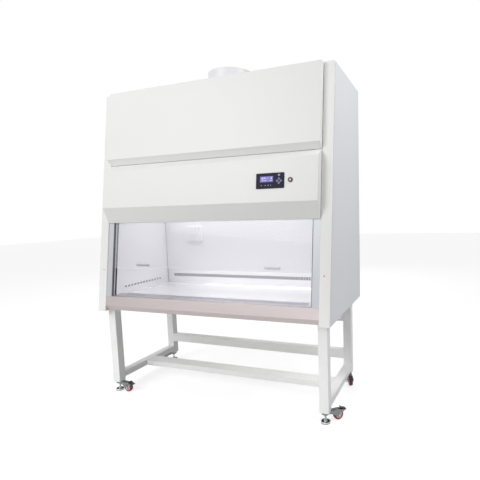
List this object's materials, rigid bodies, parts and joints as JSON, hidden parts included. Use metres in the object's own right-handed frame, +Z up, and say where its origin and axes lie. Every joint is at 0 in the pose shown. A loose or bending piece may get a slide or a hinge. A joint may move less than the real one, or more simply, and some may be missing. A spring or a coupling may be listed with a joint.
{
  "type": "biosafety cabinet",
  "caption": "Floor-standing biosafety cabinet: slanted front with a sliding glass sash, steel work chamber, control panel, roof exhaust collar and a tube stand on levelling castors.",
  "frame": {"origin": "on the floor under the middle of the cabinet", "axes": "+Z up, +X to the operator's right, -Y towards the operator"},
  "size_m": [1.795, 0.9, 2.27],
  "materials": {
    "painted_white": "off-white powder coat",
    "stainless": "brushed stainless",
    "stainless_white": "pale coated steel lining",
    "galvanised": "zinc-coated sheet",
    "filter_media": "pleated filter medium in a tray",
    "motor_black": "satin paint",
    "impeller_alloy": "cast",
    "lamp_glass": "white tubes in holders",
    "safety_glass": "clear laminated glass",
    "channel_white": "coated channel",
    "rack_plastic": "moulded rack",
    "steel_bright": "turned steel",
    "handle_satin": "satin anodised",
    "gear_grey": "grey paint",
    "bezel_navy": "printed membrane",
    "screen_lit": "lit display",
    "key_dark": "membrane key",
    "key_accent": "membrane key",
    "switch_black": "moulded ring",
    "switch_red": "moulded key barrel",
    "socket_white": "moulded housing",
    "lid_grey": "moulded lid",
    "brass_valve": "cast valve",
    "lever_red": "dipped lever",
    "castor_dark": "black die casting",
    "tyre_maroon": "moulded tread",
    "pedal_black": "moulded pedal",
    "foot_zinc": "zinc plate",
    "screw_cap": "screw heads and caps"
  },
  "bodies": {
    "cabinet": {"side_panels": "painted_white", "front_pillars": "painted_white", "rear_panel": "painted_white", "top_panel": "painted_white", "fascia_shell": "painted_white", "exhaust_duct": "galvanised", "hepa_filters": "filter_media", "plenum_box": "galvanised", "blower_housing": "galvanised", "blower_motor": "motor_black", "base_pan": "stainless", "back_wall": "stainless_white", "inner_side_walls": "stainless_white", "worktop": "stainless", "front_grille": "stainless", "sill": "stainless", "ceiling_diffuser": "stainless_white", "chamber_lamps": "lamp_glass", "socket_box": "socket_white", "drain_valve": "brass_valve", "window_channels": "channel_white", "drive_beam": "galvanised", "gearmotor": "gear_grey", "control_bezel": "bezel_navy", "display_screen": "screen_lit", "key_switch_ring": "switch_black", "stand_legs": "painted_white", "stand_side_rails": "painted_white", "stand_cross_rails": "painted_white", "screws": "screw_cap"},
    "cover": {"top_cover": "painted_white"},
    "impeller": {"blower_impeller": "impeller_alloy"},
    "sash": {"sash_glass": "safety_glass", "sash_handles": "handle_satin", "sash_racks": "rack_plastic"},
    "cross_shaft": {"drive_shaft": "steel_bright"},
    "lid": {"socket_lid": "lid_grey"},
    "lever": {"drain_lever": "lever_red"},
    "key_up": {"key_up": "key_dark"},
    "key_down": {"key_down": "key_dark"},
    "key_left": {"key_left": "key_dark"},
    "key_right": {"key_right": "key_dark"},
    "key_power": {"key_power": "key_accent"},
    "key_switch": {"key_switch_core": "switch_red"},
    "castor_front_right": {"castor_fork_front_right": "castor_dark"},
    "wheel_front_right": {"castor_wheel_front_right": "tyre_maroon"},
    "pedal_front_right": {"castor_pedal_front_right": "pedal_black"},
    "foot_front_right": {"levelling_foot_front_right": "foot_zinc"},
    "castor_front_left": {"castor_fork_front_left": "castor_dark"},
    "wheel_front_left": {"castor_wheel_front_left": "tyre_maroon"},
    "pedal_front_left": {"castor_pedal_front_left": "pedal_black"},
    "foot_front_left": {"levelling_foot_front_left": "foot_zinc"},
    "castor_rear_right": {"castor_fork_rear_right": "castor_dark"},
    "wheel_rear_right": {"castor_wheel_rear_right": "tyre_maroon"},
    "pedal_rear_right": {"castor_pedal_rear_right": "pedal_black"},
    "foot_rear_right": {"levelling_foot_rear_right": "foot_zinc"},
    "castor_rear_left": {"castor_fork_rear_left": "castor_dark"},
    "wheel_rear_left": {"castor_wheel_rear_left": "tyre_maroon"},
    "pedal_rear_left": {"castor_pedal_rear_left": "pedal_black"},
    "foot_rear_left": {"levelling_foot_rear_left": "foot_zinc"}
  },
  "joints": [
    {"name": "cover_hinge", "type": "hinge", "parent": "cabinet", "child": "cover", "pos_m": [0, -0.21805, 2.131], "axis": [-1, 0, 0], "range_deg": [0, 60]},
    {"name": "impeller_spin", "type": "hinge", "parent": "cabinet", "child": "impeller", "pos_m": [-0.53, 0.07, 1.807], "axis": [0, 1, 0], "continuous": true},
    {"name": "sash_slide", "type": "slide", "parent": "cabinet", "child": "sash", "axis": [0, 0.1461, 0.9893], "range_m": [-0.195, 0.22]},
    {"name": "shaft_turn", "type": "hinge", "parent": "cabinet", "child": "cross_shaft", "pos_m": [0, -0.24586, 1.66848], "axis": [1, 0, 0], "range_deg": [-632, 569]},
    {"name": "socket_lid_hinge", "type": "hinge", "parent": "cabinet", "child": "lid", "pos_m": [-0.457, 0.172, 1.175], "axis": [-1, 0, 0], "range_deg": [0, 100], "stiffness_Nm_per_rad": 0.05, "springref_deg": -20.05},
    {"name": "drain_lever_turn", "type": "hinge", "parent": "cabinet", "child": "lever", "pos_m": [-0.6, -0.28, 0.627], "axis": [0, 1, 0], "range_deg": [0, 90]},
    {"name": "key_up_press", "type": "slide", "parent": "cabinet", "child": "key_up", "axis": [0, 0.9893, -0.1461], "range_m": [0, 0.0005], "stiffness_N_per_m": 800},
    {"name": "key_down_press", "type": "slide", "parent": "cabinet", "child": "key_down", "axis": [0, 0.9893, -0.1461], "range_m": [0, 0.0005], "stiffness_N_per_m": 800},
    {"name": "key_left_press", "type": "slide", "parent": "cabinet", "child": "key_left", "axis": [0, 0.9893, -0.1461], "range_m": [0, 0.0005], "stiffness_N_per_m": 800},
    {"name": "key_right_press", "type": "slide", "parent": "cabinet", "child": "key_right", "axis": [0, 0.9893, -0.1461], "range_m": [0, 0.0005], "stiffness_N_per_m": 800},
    {"name": "key_power_press", "type": "slide", "parent": "cabinet", "child": "key_power", "axis": [0, 0.9893, -0.1461], "range_m": [0, 0.0005], "stiffness_N_per_m": 800},
    {"name": "key_switch_turn", "type": "hinge", "parent": "cabinet", "child": "key_switch", "pos_m": [0.615, -0.38839, 1.46006], "axis": [0, -0.9893, 0.1461], "range_deg": [0, 90]},
    {"name": "swivel_front_right", "type": "hinge", "parent": "cabinet", "child": "castor_front_right", "pos_m": [0.79, -0.361, 0.06], "axis": [0, 0, 1], "continuous": true},
    {"name": "wheel_spin_front_right", "type": "hinge", "parent": "castor_front_right", "child": "wheel_front_right", "pos_m": [0.85223, -0.29878, 0.033], "axis": [-0.7071, 0.7071, 0], "continuous": true},
    {"name": "brake_front_right", "type": "hinge", "parent": "castor_front_right", "child": "pedal_front_right", "pos_m": [0.87273, -0.27827, 0.056], "axis": [-0.7071, 0.7071, 0], "range_deg": [0, 12]},
    {"name": "foot_thread_front_right", "type": "slide", "parent": "cabinet", "child": "foot_front_right", "axis": [0, 0, 1], "range_m": [-0.01, 0.015]},
    {"name": "swivel_front_left", "type": "hinge", "parent": "cabinet", "child": "castor_front_left", "pos_m": [-0.79, -0.361, 0.06], "axis": [0, 0, 1], "continuous": true},
    {"name": "wheel_spin_front_left", "type": "hinge", "parent": "castor_front_left", "child": "wheel_front_left", "pos_m": [-0.70234, -0.36867, 0.033], "axis": [0.0872, 0.9962, 0], "continuous": true},
    {"name": "brake_front_left", "type": "hinge", "parent": "castor_front_left", "child": "pedal_front_left", "pos_m": [-0.67344, -0.3712, 0.056], "axis": [0.0872, 0.9962, 0], "range_deg": [0, 12]},
    {"name": "foot_thread_front_left", "type": "slide", "parent": "cabinet", "child": "foot_front_left", "axis": [0, 0, 1], "range_m": [-0.01, 0.015]},
    {"name": "swivel_rear_right", "type": "hinge", "parent": "cabinet", "child": "castor_rear_right", "pos_m": [0.79, 0.276, 0.06], "axis": [0, 0, 1], "continuous": true},
    {"name": "wheel_spin_rear_right", "type": "hinge", "parent": "castor_rear_right", "child": "wheel_rear_right", "pos_m": [0.82296, 0.19441, 0.033], "axis": [0.9272, 0.3746, 0], "continuous": true},
    {"name": "brake_rear_right", "type": "hinge", "parent": "castor_rear_right", "child": "pedal_rear_right", "pos_m": [0.83383, 0.16752, 0.056], "axis": [0.9272, 0.3746, 0], "range_deg": [0, 12]},
    {"name": "foot_thread_rear_right", "type": "slide", "parent": "cabinet", "child": "foot_rear_right", "axis": [0, 0, 1], "range_m": [-0.01, 0.015]},
    {"name": "swivel_rear_left", "type": "hinge", "parent": "cabinet", "child": "castor_rear_left", "pos_m": [-0.79, 0.276, 0.06], "axis": [0, 0, 1], "continuous": true},
    {"name": "wheel_spin_rear_left", "type": "hinge", "parent": "castor_rear_left", "child": "wheel_rear_left", "pos_m": [-0.85223, 0.21377, 0.033], "axis": [0.7071, -0.7071, 0], "continuous": true},
    {"name": "brake_rear_left", "type": "hinge", "parent": "castor_rear_left", "child": "pedal_rear_left", "pos_m": [-0.87273, 0.19327, 0.056], "axis": [0.7071, -0.7071, 0], "range_deg": [0, 12]},
    {"name": "foot_thread_rear_left", "type": "slide", "parent": "cabinet", "child": "foot_rear_left", "axis": [0, 0, 1], "range_m": [-0.01, 0.015]}
  ],
  "couplings": [
    {"joint": "shaft_turn", "follows": "sash_slide", "rad_per_m": -50}
  ]
}
